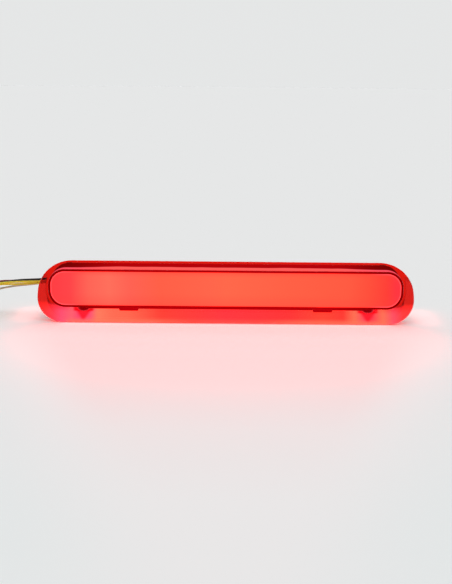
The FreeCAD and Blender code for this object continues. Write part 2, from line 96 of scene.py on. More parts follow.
class Value:                 # a socket that Python's operators can be used on
    def __init__(self, tree, socket):
        self.tree = tree
        self.socket = socket

    def __add__(self, other):
        return self.tree.maths("ADD", self, other)

    def __radd__(self, other):
        return self.tree.maths("ADD", other, self)

    def __sub__(self, other):
        return self.tree.maths("SUBTRACT", self, other)

    def __rsub__(self, other):
        return self.tree.maths("SUBTRACT", other, self)

    def __mul__(self, other):
        return self.tree.maths("MULTIPLY", self, other)

    def __rmul__(self, other):
        return self.tree.maths("MULTIPLY", other, self)

    def __truediv__(self, other):
        return self.tree.maths("DIVIDE", self, other)

    def __abs__(self):
        return self.tree.maths("ABSOLUTE", self)

    def __pow__(self, other):
        return self.tree.maths("POWER", self, other)

    def atLeast(self, other):
        return self.tree.maths("MAXIMUM", self, other)

    def rise(self, start, end):  # smooth step from 0 at start to 1 at end
        node = self.tree.add(
            "ShaderNodeMapRange",
            {"interpolation_type": "SMOOTHSTEP"},
            {"Value": self, "From Min": start, "From Max": end},
        )
        return Value(self.tree, node.outputs["Result"])


class Finish:                # one material and its nodes
    def __init__(self, name):
        self.material = bpy.data.materials.new(name)
        self.material.use_nodes = True
        self.tree = self.material.node_tree
        self.tree.nodes.clear()
        self.output = self.add("ShaderNodeOutputMaterial")

    def add(self, kind, settings=None, inputs=None):
        node = self.tree.nodes.new(kind)
        for key, setting in (settings or {}).items():
            if key == "stops":
                self.setStops(node.color_ramp, setting)
            else:
                setattr(node, key, setting)
        for key, value in (inputs or {}).items():
            self.feed(node.inputs[key], value)
        return node

    def setStops(self, ramp, stops):
        while len(ramp.elements) < len(stops):
            ramp.elements.new(1.0)
        for element, (place, colour) in zip(ramp.elements, stops):
            element.position = place
        for element, (place, colour) in zip(ramp.elements, stops):
            element.color = (*colour, 1.0)

    def feed(self, socket, value):
        if isinstance(value, Value):
            self.tree.links.new(value.socket, socket)
        elif isinstance(value, tuple) and len(value) == 3 and socket.type == "RGBA":
            socket.default_value = (*value, 1.0)
        else:
            socket.default_value = value

    def value(self, node, name=0):
        return Value(self, node.outputs[name])

    def maths(self, operation, *inputs):
        node = self.add("ShaderNodeMath", {"operation": operation})
        for socket, value in zip(node.inputs, inputs):
            self.feed(socket, value)
        return Value(self, node.outputs[0])

    def axes(self, kind):
        spot = self.add("ShaderNodeTexCoord")
        split = self.add("ShaderNodeSeparateXYZ", None, {0: self.value(spot, kind)})
        return [self.value(split, axis) for axis in "XYZ"]

    def place(self):         # the point on the piece, in metres
        return self.axes("Object")

    def direction(self):     # the way a ray looks, for a sky
        return self.axes("Generated")

    def objectSpot(self, stretch=(1, 1, 1)):
        spot = self.add("ShaderNodeTexCoord")
        here = self.value(spot, "Object")
        return self.value(self.add("ShaderNodeMapping", None, {"Vector": here, "Scale": stretch}))

    def noise(self, scale, detail=4.0, roughness=0.5, stretch=(1, 1, 1)):
        node = self.add(
            "ShaderNodeTexNoise",
            None,
            {"Vector": self.objectSpot(stretch), "Scale": scale, "Detail": detail, "Roughness": roughness},
        )
        return self.value(node)

    def ramp(self, factor, stops):
        return self.value(self.add("ShaderNodeValToRGB", {"stops": stops}, {"Fac": factor}), "Color")

    def mix(self, factor, low, high, kind="MIX"):
        node = self.add("ShaderNodeMix", {"data_type": "RGBA", "blend_type": kind})
        self.feed(node.inputs[0], factor)
        self.feed(node.inputs[6], low)
        self.feed(node.inputs[7], high)
        return Value(self, node.outputs[2])

    def bump(self, height, strength, distance):
        inputs = {"Height": height, "Strength": strength, "Distance": distance}
        return self.value(self.add("ShaderNodeBump", None, inputs))

    def voronoi(self, scale):
        node = self.add("ShaderNodeTexVoronoi", None, {"Vector": self.objectSpot(), "Scale": scale})
        return self.value(node, "Distance")

    def shader(self, **inputs):
        named = {key.replace("_", " "): value for key, value in inputs.items()}
        return self.value(self.add("ShaderNodeBsdfPrincipled", None, named))

    def cover(self, factor, under, top):
        return self.value(self.add("ShaderNodeMixShader", None, {0: factor, 1: under, 2: top}))

    def show(self, shader):
        self.tree.links.new(shader.socket, self.output.inputs["Surface"])

    def surface(self, **inputs):
        self.show(self.shader(**inputs))


def deselect():
    if bpy.context.object and bpy.context.object.mode != "OBJECT":
        bpy.ops.object.mode_set(mode="OBJECT")
    bpy.ops.object.select_all(action="DESELECT")


def dress(piece, finish):
    piece.data.materials.clear()
    piece.data.materials.append(finish.material)


# tools for the new pieces

mergeReach = 0.00001         # corners closer than this are one
flatAngle = 0.6              # faces that turn by less than this, in degrees, are one
softAngle = 32               # edges sharper than this are rounded
smoothAngle = 40             # and edges blunter than this are shaded smooth


def addPiece(name, mesh):
    deselect()
    piece = bpy.data.objects.new(name, mesh)
    bpy.context.collection.objects.link(piece)
    choose(piece)
    return piece


def choose(piece):
    deselect()
    piece.select_set(True)
    bpy.context.view_layer.objects.active = piece


def copyOf(node, name):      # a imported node's shape, with its triangles joined up
    piece = addPiece(name, nodes[node].data.copy())
    bpy.ops.object.mode_set(mode="EDIT")
    bpy.ops.mesh.select_all(action="SELECT")
    bpy.ops.mesh.remove_doubles(threshold=mergeReach)
    bpy.ops.object.mode_set(mode="OBJECT")
    return piece


def flatten(piece):          # joins the triangles of each flat face
    choose(piece)
    bpy.ops.object.mode_set(mode="EDIT")
    bpy.ops.mesh.select_all(action="SELECT")
    bpy.ops.mesh.dissolve_limited(angle_limit=math.radians(flatAngle))
    bpy.ops.object.mode_set(mode="OBJECT")


def soften(piece, width, segments):
    choose(piece)
    edges = piece.modifiers.new("soft_edges", "BEVEL")
    edges.width = width
    edges.segments = segments
    edges.limit_method = "ANGLE"
    edges.angle_limit = math.radians(softAngle)
    bpy.ops.object.modifier_apply(modifier=edges.name)
    bpy.ops.object.shade_smooth_by_angle(angle=math.radians(smoothAngle))


def carve(piece, tool):      # takes the tool's shape out of the piece
    choose(piece)
    cut = piece.modifiers.new("cut", "BOOLEAN")
    cut.operation = "DIFFERENCE"
    cut.solver = "EXACT"
    cut.object = tool
    bpy.ops.object.modifier_apply(modifier=cut.name)
    bpy.data.objects.remove(tool)


def settle(piece):           # leaves the piece's place in its mesh
    choose(piece)
    bpy.ops.object.transform_apply(location=True, rotation=True, scale=True)


def ontoPanel(piece):        # from the panel's width, slope and outward normal to the frame
    piece.rotation_euler = (math.radians(90 - lampPlan["lean"]), 0, 0)
    piece.location = (0, lampPlan["panelY"], -lampPlan["floorDrop"])
    settle(piece)


def pickFaces(piece, keep):  # selects the faces whose middle and normal pass
    bpy.ops.object.mode_set(mode="EDIT")
    bpy.ops.mesh.select_mode(type="FACE")
    bpy.ops.mesh.select_all(action="DESELECT")
    mesh = bmesh.from_edit_mesh(piece.data)
    for face in mesh.faces:
        face.select_set(keep(face.calc_center_median(), face.normal))
    mesh.select_flush(True)
    bmesh.update_edit_mesh(piece.data)


def pickCorners(piece, keep):            # selects the corners that pass
    bpy.ops.object.mode_set(mode="EDIT")
    bpy.ops.mesh.select_mode(type="VERT")
    bpy.ops.mesh.select_all(action="DESELECT")
    mesh = bmesh.from_edit_mesh(piece.data)
    for corner in mesh.verts:
        corner.select_set(keep(corner.co))
    bmesh.update_edit_mesh(piece.data)


def faceOutwards():          # in edit mode
    bpy.ops.mesh.select_all(action="SELECT")
    bpy.ops.mesh.normals_make_consistent(inside=False)
    bpy.ops.object.mode_set(mode="OBJECT")


def block(name, low, high):  # a plain bar to build with, between two corners
    deselect()
    middle = [(a + b) / 2 for a, b in zip(low, high)]
    bpy.ops.mesh.primitive_cube_add(size=1, location=middle)
    bar = bpy.context.object
    bar.name = name
    bar.scale = [b - a for a, b in zip(low, high)]
    settle(bar)
    return bar


def joined(parts, name):
    deselect()
    for part in parts:
        part.select_set(True)
    bpy.context.view_layer.objects.active = parts[0]
    bpy.ops.object.join()
    parts[0].name = name
    return parts[0]


def turned(name, profile, segments=56):  # a round piece along its own Z, from (height, radius) steps
    deselect()
    height, radius = profile[0]
    bpy.ops.mesh.primitive_circle_add(vertices=segments, radius=radius, fill_type="NGON")
    piece = bpy.context.object
    piece.location = (0, 0, height)
    piece.name = name
    settle(piece)
    bpy.ops.object.mode_set(mode="EDIT")
    bpy.ops.mesh.select_all(action="SELECT")
    for (height, radius), (nextHeight, nextRadius) in zip(profile, profile[1:]):
        bpy.ops.mesh.extrude_region_move(TRANSFORM_OT_translate={"value": (0, 0, nextHeight - height)})
        ratio = nextRadius / radius
        bpy.ops.transform.resize(value=(ratio, ratio, 1), center_override=(0, 0, nextHeight))
    faceOutwards()
    return piece


def stand(piece, node, finish):
    dress(piece, finish)
    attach(piece, "root")
    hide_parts(node)


studPlan = {
    "places": {"left": -0.120, "right": 0.120},
    "up": 0.040,
    "seat": -0.03757,        # where the stud leaves the housing's boss
    "free": 0.0140,
    "tip": 0.0007,           # length of the chamfer
    "tipRatio": 0.74,
    "held": 0.0080,
    "step": 0.00005,         # the thread runs out over this length
    "radius": 0.0025,
    "rootRadius": 0.0030,
    "pitch": 0.0008,
    "steps": 24,
    "merge": 0.000002,
    "smooth": 28,
}


def threadOutline(plan):     # one tooth, a pitch long: half of a square that stands on its corner
    half = plan["pitch"] / 2
    deselect()
    bpy.ops.mesh.primitive_plane_add(
        size=half * math.sqrt(2),
        location=(plan["radius"] - half, 0, 0),
        rotation=(math.radians(90), math.radians(45), 0),
    )
    stud = bpy.context.object
    settle(stud)
    pickCorners(stud, lambda corner: corner.x < plan["radius"] - 1.5 * half)
    bpy.ops.mesh.delete(type="VERT")
    bpy.ops.object.mode_set(mode="OBJECT")
    return stud


def windThread(stud, plan):
    thread = stud.modifiers.new("thread", "SCREW")
    thread.axis = "Z"
    thread.angle = math.radians(360)
    thread.screw_offset = plan["pitch"]
    thread.iterations = int(plan["free"] / plan["pitch"]) + 3
    thread.steps = plan["steps"]
    thread.render_steps = plan["steps"]
    bpy.ops.object.modifier_apply(modifier=thread.name)
    stud.location = (0, 0, plan["seat"] - plan["free"] - plan["pitch"])
    settle(stud)


def threadedStud(plan):
    stud = threadOutline(plan)
    windThread(stud, plan)
    seat = plan["seat"]
    low = seat - plan["free"] + plan["tip"]
    bpy.ops.object.mode_set(mode="EDIT")
    bpy.ops.mesh.select_mode(type="FACE")
    bpy.ops.mesh.select_all(action="SELECT")
    bpy.ops.mesh.remove_doubles(threshold=plan["merge"])
    bpy.ops.mesh.bisect(plane_co=(0, 0, low), plane_no=(0, 0, 1), use_fill=True, clear_inner=True)
    bpy.ops.mesh.select_all(action="SELECT")
    bpy.ops.mesh.bisect(plane_co=(0, 0, seat), plane_no=(0, 0, -1), use_fill=True, clear_inner=True)

    def endFace(height):
        near = plan["pitch"] / 20
        pickFaces(stud, lambda middle, normal: abs(middle.z - height) < near and abs(normal.z) > 0.99)

    endFace(low)
    bpy.ops.mesh.extrude_region_move(TRANSFORM_OT_translate={"value": (0, 0, -plan["tip"])})
    bpy.ops.transform.resize(value=(plan["tipRatio"], plan["tipRatio"], 1), center_override=(0, 0, low))
    endFace(seat)
    bpy.ops.mesh.extrude_region_move(TRANSFORM_OT_translate={"value": (0, 0, plan["step"])})
    grow = plan["rootRadius"] / (plan["radius"] - plan["pitch"] / 4)
    bpy.ops.transform.resize(value=(grow, grow, 1), center_override=(0, 0, seat))
    bpy.ops.mesh.extrude_region_move(TRANSFORM_OT_translate={"value": (0, 0, plan["held"] - plan["step"])})
    faceOutwards()
    bpy.ops.object.shade_smooth_by_angle(angle=math.radians(plan["smooth"]))
    return stud


def zincFinish():
    finish = Finish("zinc_thread")
    streaks = finish.noise(900.0, 4.0, 0.6, (1, 1, 3))
    blotch = finish.noise(160.0, 3.0, 0.5)
    pale = finish.mix(blotch.rise(0.3, 0.7), (0.62, 0.61, 0.57), (0.74, 0.73, 0.71))
    finish.surface(
        Base_Color=finish.mix(streaks.rise(0.55, 0.80) * 0.5, pale, (0.42, 0.40, 0.36)),
        Metallic=1.0,
        Roughness=0.22 + 0.22 * streaks,
        Normal=finish.bump(streaks, 0.15, 0.00008),
    )
    return finish


def makeStuds(plan):
    finish = zincFinish()
    studs = [threadedStud(plan)]
    choose(studs[0])
    bpy.ops.object.duplicate(linked=False)
    studs.append(bpy.context.object)
    for stud, (side, x) in zip(studs, plan["places"].items()):
        stud.name = "threaded_stud_" + side
        stud.location = (x, plan["up"], 0)
        settle(stud)
        ontoPanel(stud)
        stand(stud, "mounting_studs", finish)


makeStuds(studPlan)
print("studs threaded")

gasketPlan = {
    "round": 0.0006,
    "cells": 1500.0,         # pores to a metre
    "fine": 5200.0,
    "pores": ((0.60, 0.59, 0.56), (0.82, 0.81, 0.78)),
    "dirt": (0.58, 0.55, 0.50),
}


def foamFinish(plan):
    finish = Finish("cell_foam")
    cells = finish.voronoi(plan["cells"])
    fine = finish.noise(plan["fine"], 3.0, 0.6)
    dirt = finish.noise(55.0, 4.0, 0.55)
    body = finish.mix(cells.rise(0.05, 0.55), *plan["pores"])
    finish.surface(
        Base_Color=finish.mix(dirt.rise(0.45, 0.75) * 0.35, body, plan["dirt"]),
        Roughness=0.86 + 0.1 * fine,
        Specular_IOR_Level=0.25,
        Normal=finish.bump(cells + 0.4 * fine, 0.75, 0.0003),
    )
    return finish


def makeGasket(plan):
    gasket = copyOf("panel_gasket", "foam_gasket")
    flatten(gasket)
    soften(gasket, plan["round"], 3)
    stand(gasket, "panel_gasket", foamFinish(plan))


makeGasket(gasketPlan)

rubberPlan = {"round": 0.00035, "black": (0.020, 0.020, 0.021), "dusty": (0.055, 0.053, 0.050)}


def rubberFinish(name, plan):
    finish = Finish(name)
    dust = finish.noise(140.0, 5.0, 0.6)
    grain = finish.noise(3800.0, 2.0, 0.5)
    finish.surface(
        Base_Color=finish.mix(dust.rise(0.45, 0.80), plan["black"], plan["dusty"]),
        Roughness=0.50 + 0.25 * dust,
        Specular_IOR_Level=0.4,
        Normal=finish.bump(grain, 0.25, 0.00006),
    )
    return finish


def makeSeal(plan):
    seal = copyOf("lens_seal", "rubber_seal")
    flatten(seal)
    soften(seal, plan["round"], 3)
    stand(seal, "lens_seal", rubberFinish("seal_rubber_black", plan))


makeSeal(rubberPlan)

grommetPlan = {
    "y": 0.001645,           # its axis runs along X
    "z": 0.03383,
    "inner": 0.1660,         # its inner end, left of the middle
    # (distance outwards from the inner end, radius), with ring grooves on the nose so that it can bend
    "profile": [(0.0, 0.0040), (0.00015, 0.0046), (0.0004, 0.0049), (0.0014, 0.0049), (0.00170, 0.0047),
                (0.00178, 0.0039), (0.00402, 0.0039), (0.00410, 0.0047), (0.0043, 0.0049), (0.0053, 0.0049),
                (0.0056, 0.0047), (0.0057, 0.0044), (0.0063, 0.0043), (0.0064, 0.0038), (0.0068, 0.00375),
                (0.0069, 0.00415), (0.0075, 0.00405), (0.0076, 0.0036), (0.0080, 0.00355), (0.0081, 0.0039),
                (0.0087, 0.0038), (0.0088, 0.0034), (0.0091, 0.00335), (0.00915, 0.0037), (0.0094, 0.00365),
                (0.0095, 0.0035)],
    "ring": 0.0021,          # the leads' ring
    "collar": [(0.0090, 0.0012), (0.0097, 0.00118), (0.0100, 0.00108)],
    "turns": (90, 18, 162, 234, 306),
    "collarSegments": 20,
    "smooth": 35,
}


def makeGrommet(plan):
    parts = [turned("cable_grommet", plan["profile"])]
    for turn in plan["turns"]:
        angle = math.radians(turn)
        collar = turned("collar", plan["collar"], plan["collarSegments"])
        # local X becomes the frame's up and local Y its depth
        collar.location = (plan["ring"] * math.sin(angle), plan["ring"] * math.cos(angle), 0)
        parts.append(collar)
    for part in parts:
        settle(part)
    grommet = joined(parts, "cable_grommet")
    grommet.matrix_world = Matrix((
        (0, 0, -1, -plan["inner"]),
        (0, 1, 0, plan["y"]),
        (1, 0, 0, plan["z"]),
        (0, 0, 0, 1),
    ))
    settle(grommet)
    bpy.ops.object.mode_set(mode="EDIT")
    faceOutwards()
    bpy.ops.object.shade_smooth_by_angle(angle=math.radians(plan["smooth"]))
    stand(grommet, "wire_grommet", rubberFinish("grommet_rubber", rubberPlan))


makeGrommet(grommetPlan)
print("soft parts made")

housingPlan = {
    "back": -0.03557,        # the rear face, in the panel's normal
    "sunk": 0.0008,          # how far a rib reaches into the wall
    "ribWidth": 0.0016,
    "ribHeight": 0.0009,
    "ribUps": (0.0265, 0.0500),
    "ribPlaces": (-0.148, -0.094, -0.050, 0.012, 0.088, 0.148),
    "frameX": (-0.042, 0.002),           # a raised frame for a label
    "frameUp": (0.0320, 0.0450),
    "frameBar": 0.0009,
    "frameHeight": 0.0005,
    "gussetReach": (0.0060, 0.0125),     # from the stud's axis
    "gussetWidth": 0.0016,
    "gussetHeight": (0.0017, 0.0001),    # beside the stud and at the outer end
    "gussetSunk": 0.0005,
    "gussetTurns": (45, 135, 225, 315),
    "round": 0.00025,
    "segments": 2,
}


def gusset(plan, x, turn):   # a fin that slopes down from the stud's boss
    near, far = plan["gussetReach"]
    high, low = plan["gussetHeight"]
    half = plan["gussetWidth"] / 2
    back = plan["back"]
    fin = block("gusset", (near, -half, back - high), (far, half, back + plan["gussetSunk"]))
    pickCorners(fin, lambda corner: corner.x > (near + far) / 2 and corner.z < back)
    bpy.ops.transform.translate(value=(0, 0, high - low))
    bpy.ops.object.mode_set(mode="OBJECT")
    fin.rotation_euler = (0, 0, math.radians(turn))
    fin.location = (x, studPlan["up"], 0)
    settle(fin)
    return fin


def stiffeners(plan):        # upright ribs across the rear face
    half = plan["ribWidth"] / 2
    low, high = plan["ribUps"]
    top = plan["back"] - plan["ribHeight"]
    root = plan["back"] + plan["sunk"]
    return [block("rib", (x - half, low, top), (x + half, high, root)) for x in plan["ribPlaces"]]


def labelFrame(plan):
    left, right = plan["frameX"]
    low, high = plan["frameUp"]
    bar = plan["frameBar"]
    top = plan["back"] - plan["frameHeight"]
    root = plan["back"] + plan["sunk"]
    sides = (
        (left, right, low, low + bar),
        (left, right, high - bar, high),
        (left, left + bar, low + bar, high - bar),
        (right - bar, right, low + bar, high - bar),
    )
    return [block("frame", (x0, up0, top), (x1, up1, root)) for x0, x1, up0, up1 in sides]


def makeHousing(plan):
    housing = copyOf("rear_housing", "moulded_housing")
    raised = stiffeners(plan) + labelFrame(plan)
    for x in studPlan["places"].values():
        raised += [gusset(plan, x, turn) for turn in plan["gussetTurns"]]
    raised = joined(raised, "raised")
    ontoPanel(raised)
    housing = joined([housing, raised], "moulded_housing")
    flatten(housing)
    soften(housing, plan["round"], plan["segments"])
    stand(housing, "rear_housing", shellFinish("moulded_black", 0.47))


def shellFinish(name, roughness):        # spark-eroded black moulding
    finish = Finish(name)
    pits = finish.voronoi(2600.0)
    fine = finish.noise(6200.0, 2.0, 0.5)
    flow = finish.noise(26.0, 3.0, 0.5, (0.35, 1, 1))
    dust = finish.noise(90.0, 5.0, 0.65)
    base = finish.mix(flow.rise(0.35, 0.65), (0.018, 0.018, 0.019), (0.027, 0.027, 0.029))
    finish.surface(
        Base_Color=finish.mix(dust.rise(0.60, 0.85) * 0.45, base, (0.075, 0.072, 0.068)),
        Roughness=roughness + 0.14 * dust + 0.05 * fine,
        Specular_IOR_Level=0.45,
        Normal=finish.bump(pits + 0.5 * fine, 0.35, 0.00012),
    )
    return finish


makeHousing(housingPlan)
print("housing ribbed")

plugPlan = {
    "sides": (-0.3058, -0.2828),
    "top": 0.0094,
    "grooves": (0.0432, 0.0448, 0.0464, 0.0480),
    "grooveWidth": 0.0007,
    "grooveDepth": 0.00045,
    "grooveMargin": 0.0018,  # above and below the grooves in the sides
    "topMargin": 0.0030,     # beside the grooves on top
    "rails": (-0.3018, -0.2868),
    "railSize": 0.0006,      # half the width, and the depth
    "railY": (0.0560, 0.0670),
    "past": 0.0003,          # a cutter passes the face by this much
    "round": 0.00022,
    "segments": 2,
}


def gripCuts(plan, y):       # one groove of the finger grip, on both sides and on top
    left, right = plan["sides"]
    top = plan["top"]
    deep = plan["grooveDepth"]
    past = plan["past"]
    low, high = y - plan["grooveWidth"] / 2, y + plan["grooveWidth"] / 2
    foot, head = plan["grooveMargin"], top - plan["grooveMargin"]
    margin = plan["topMargin"]
    return [
        block("grip", (left - past, low, foot), (left + deep, high, head)),
        block("grip", (right - deep, low, foot), (right + past, high, head)),
        block("grip", (left + margin, low, top - deep), (right - margin, high, top + past)),
    ]


def railCuts(plan, x):       # guide slots for the mating half, on top and underneath
    size = plan["railSize"]
    start, end = plan["railY"]
    top = plan["top"]
    past = plan["past"]
    return [
        block("slot", (x - size, start, top - size), (x + size, end, top + past)),
        block("slot", (x - size, start, -past), (x + size, end, size)),
    ]


def makePlug(plan):
    plug = copyOf("connector_housing", "loom_plug")
    cuts = []
    for y in plan["grooves"]:
        cuts += gripCuts(plan, y)
    for x in plan["rails"]:
        cuts += railCuts(plan, x)
    carve(plug, joined(cuts, "cuts"))
    flatten(plug)
    soften(plug, plan["round"], plan["segments"])
    stand(plug, "connector_housing", shellFinish("plug_nylon", 0.36))
    return plug


plug = makePlug(plugPlan)
print("plug detailed")


# the five free leads

leadPlan = {
    "diameter": 0.0019,
    "routes": {              # in millimetres, from the grommet to the plug
        "black": [(-175.5, 1.65, 35.93), (-185, 1.65, 35.5), (-196, 1.9, 34.9), (-212, 2.4, 34.0),
                  (-230, 2.2, 30.3), (-243.5, 2.2, 25.5), (-255, 0.2, 17.2), (-262.2, -4.8, 8.5),
                  (-263.6, -12.8, 1.8), (-263.5, -25.4, 1.0), (-278, -33.7, 1.0), (-292.5, -25.4, 1.0),
                  (-292.9, -9, 1.0), (-292, 9, 1.4), (-290.8, 24, 3.6), (-290.3, 35, 4.7), (-290.3, 46, 4.7)],
        "red": [(-175.5, 3.65, 34.48), (-185, 3.65, 34.0), (-198, 4.0, 33.2), (-213, 4.7, 33.0),
                (-230, 5.2, 32.2), (-244.5, 5.3, 28.4), (-257, 3.0, 20.0), (-265, -2.2, 10.3),
                (-266.6, -11.2, 2.6), (-266.5, -23.6, 1.0), (-278, -30.3, 1.0), (-289.5, -23.6, 1.0),
                (-289.8, -9, 1.0), (-288.6, 9, 1.4), (-286.8, 24, 3.6), (-286.3, 35, 4.7), (-286.3, 46, 4.7)],
        "yellow_front": [(-175.5, -0.35, 34.48), (-185, -0.35, 33.4), (-198, -1.3, 33.2), (-214, -1.9, 32.9),
                         (-230, -2.6, 31.4), (-241.5, -3.5, 26.9), (-249, -6.5, 18.0), (-252.6, -10.5, 9.2),
                         (-254.5, -16.5, 1.8), (-254.5, -30.6, 1.0), (-278, -44.1, 1.0), (-301.5, -30.6, 1.0),
                         (-302.2, -11, 1.0), (-302.6, 8, 1.4), (-302.4, 24, 3.6), (-302.3, 35, 4.7),
                         (-302.3, 46, 4.7)],
        "yellow_low": [(-175.5, 0.41, 32.13), (-185, 0.41, 31.6), (-197, 0.0, 31.2), (-212, -0.5, 30.2),
                       (-230, -1.2, 30.4), (-242, -2.2, 25.3), (-251.5, -4.6, 16.5), (-256, -8.8, 8.3),
                       (-257.6, -15.2, 1.6), (-257.5, -28.8, 1.0), (-278, -40.7, 1.0), (-298.5, -28.8, 1.0),
                       (-298.9, -10.5, 1.0), (-298.8, 8, 1.4), (-298.4, 24, 3.6), (-298.3, 35, 4.7),
                       (-298.3, 46, 4.7)],
        "white": [(-175.5, 2.88, 32.13), (-185, 2.88, 31.0), (-197, 2.6, 29.6), (-212, 2.3, 28.2),
                  (-230, 1.6, 24.9), (-242.5, 0.8, 20.8), (-254, -1.6, 13.6), (-259.4, -7.0, 6.5),
                  (-260.6, -13.8, 1.4), (-260.5, -27.1, 1.0), (-278, -37.2, 1.0), (-295.5, -27.1, 1.0),
                  (-295.7, -10, 1.0), (-295.2, 8.5, 1.4), (-294.5, 24, 3.6), (-294.3, 35, 4.7),
                  (-294.3, 46, 4.7)],
    },
    "lengths": {"black": 0.220, "red": 0.2155, "yellow_front": 0.239, "yellow_low": 0.231, "white": 0.224},
    "colours": {
        "black": (0.012, 0.012, 0.013),
        "red": (0.30, 0.025, 0.012),
        "yellow_front": (1.0, 0.80, 0.012),
        "yellow_low": (0.97, 0.74, 0.012),
        "white": (0.60, 0.52, 0.40),
    },
}


def leadFinish(colour):
    finish = Finish("lead_" + colour)
    marks = finish.noise(420.0, 4.0, 0.5)
    base = leadPlan["colours"][colour]
    worn = tuple(0.88 * c + 0.008 for c in base)
    finish.surface(
        Base_Color=finish.mix(marks.rise(0.35, 0.75), base, worn),
        Roughness=0.34 + 0.16 * marks,
        Normal=finish.bump(marks, 0.08, 0.0001),
        Coat_Weight=0.15,
    )
    return finish


def makeLead(colour, route):
    curve = bpy.data.curves.new("lead_" + colour, "CURVE")
    curve.dimensions = "3D"
    spline = curve.splines.new("NURBS")
    spline.points.add(len(route) - 1)
    for point, place in zip(spline.points, route):
        point.co = (*(0.001 * c for c in place), 1.0)
    spline.order_u = 3
    spline.use_endpoint_u = True
    curve.resolution_u = 16
    curve.bevel_depth = leadPlan["diameter"] / 2
    curve.bevel_resolution = 6
    curve.use_fill_caps = True
    lead = bpy.data.objects.new("lead_" + colour, curve)
    bpy.context.collection.objects.link(lead)
    dress(lead, leadFinish(colour))
    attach(lead, "root")
    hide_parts("wire_" + colour)


for colour, route in leadPlan["routes"].items():
    makeLead(colour, route)
print("leads laid")


# the light box's outline, which both of its finishes share

boxPlan = {"halfWidth": 0.1735, "halfHeight": 0.0191, "corner": 0.0165, "diffuserInset": 0.00215}
boardLow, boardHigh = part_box("led_board")
boxMiddle = (boardLow.z + boardHigh.z) / 2   # the board stands in the middle of the light box


def boxGap(x, z):            # distance in from the light box's outline, in metres
    reachX = (abs(x) - (boxPlan["halfWidth"] - boxPlan["corner"])).atLeast(0.0)
    reachZ = (abs(z - boxMiddle) - (boxPlan["halfHeight"] - boxPlan["corner"])).atLeast(0.0)
    return boxPlan["corner"] - (reachX * reachX + reachZ * reachZ) ** 0.5


def shade(red, green, blue, strength):
    return (red / strength, green / strength, blue / strength)


facePlan = {
    "strength": 2.5,
    "halfWidth": 0.1714,
    # green and blue along the face, from its left end to its right
    "stops": [(0.00, 0.036, 0.048), (0.06, 0.052, 0.058), (0.11, 0.120, 0.085), (0.167, 0.151, 0.098),
              (0.225, 0.115, 0.078), (0.31, 0.108, 0.055), (0.45, 0.123, 0.062), (0.50, 0.131, 0.062),
              (0.68, 0.110, 0.052), (0.85, 0.096, 0.046), (0.91, 0.070, 0.036), (0.96, 0.042, 0.030),
              (1.00, 0.022, 0.050)],
    # each pair below is a soft edge, from where it starts to where it is full, in metres
    "ends": (0.135, 0.160),
    "border": (-0.0008, 0.0058),         # the face is dimmer near its outline, by up to half
    "borderLevel": 0.5,
    "low": (-0.003, -0.016),             # and a little dimmer towards its lower edge
    "lowLevel": 0.28,
    "dimmer": (0.045, 0.036),
    "line": (0.0015, 0.0009),            # a pale line inside the outline, at the ends
    "lineLight": (0.10, 0.12),
    "edge": (0.0006, 0.0002),            # the dark joint with the lens, but not along the foot
    "aboveFoot": (-0.017, -0.010),
    "edgeRed": ((0.36, 0.0, 0.002), (0.20, 0.0, 0.0)),       # in the middle and at the ends
    "skin": (0.0030, 0.0018),            # only the front of the plate glows
    "plate": (-0.0009, -0.0004),
    "sideRed": (0.12, 0.0, 0.001),
    "base": (0.30, 0.006, 0.006),
    "grain": 2600.0,
}


def litFinish(plan):         # the frosted plate, lit from behind
    strength = plan["strength"]
    finish = Finish("frosted_red")
    x, y, z = finish.place()
    above = z - boxMiddle
    along = (x + plan["halfWidth"]) / (2 * plan["halfWidth"])
    cloud = finish.noise(14.0, 2.0, 0.4)
    stops = [(place, shade(strength, green, blue, strength)) for place, green, blue in plan["stops"]]
    colour = finish.ramp(along + (cloud - 0.5) * 0.02, stops)
    gap = boxGap(x, z) - boxPlan["diffuserInset"]
    border = (1 - gap.rise(*plan["border"])) * plan["borderLevel"]
    low = above.rise(*plan["low"]) * plan["lowLevel"]
    body = finish.mix(border.atLeast(low), colour, shade(strength, *plan["dimmer"], strength))
    ends = abs(x).rise(*plan["ends"])
    line = gap.rise(*plan["line"]) * ends
    lit = finish.mix(line, body, shade(strength, *plan["lineLight"], strength))
    edge = gap.rise(*plan["edge"]) * above.rise(*plan["aboveFoot"])
    middleRed, endRed = plan["edgeRed"]
    lit = finish.mix(edge, lit, finish.mix(ends, shade(*middleRed, strength), shade(*endRed, strength)))
    seen = (y - faceY).rise(*plan["skin"]) * gap.rise(*plan["plate"])
    grain = finish.noise(plan["grain"], 3.0, 0.6)
    finish.surface(
        Base_Color=plan["base"],
        Specular_IOR_Level=0.15,
        Roughness=0.42 + 0.1 * grain,
        Emission_Color=finish.mix(seen, plan["sideRed"], lit),
        Emission_Strength=strength,
        Normal=finish.bump(grain, 0.12, 0.0001),
    )
    return finish


dress(nodes["front_diffuser"], litFinish(facePlan))

lensPlan = {
    "strength": 1.6,
    "halfWidth": 0.1865,
    # each pair below is a soft edge, from where it starts to where it is full, in metres
    "inside": (-0.0006, -0.0001),        # within the light box's outline
    "ends": (0.10, 0.165),
    "endZone": (0.146, 0.162),           # where the flange turns up beside the light box
    "skin": (0.0009, 0.0016),            # the flange's front face, along the panel's normal
    "skinTop": (0.0040, 0.0030),
    "bossShift": 0.0022,                 # the posts look this much nearer to the middle
    # the flange's red, painted as a glow over what lies behind it
    "crownGlow": (0.70, 0.010, 0.005),
    "rimDarkAndShadow": ((0.36, 0.0, 0.002), (0.20, 0.0, 0.0)),       # the dark rim's red, also used for the painted shadow line; in the middle and at the ends
}

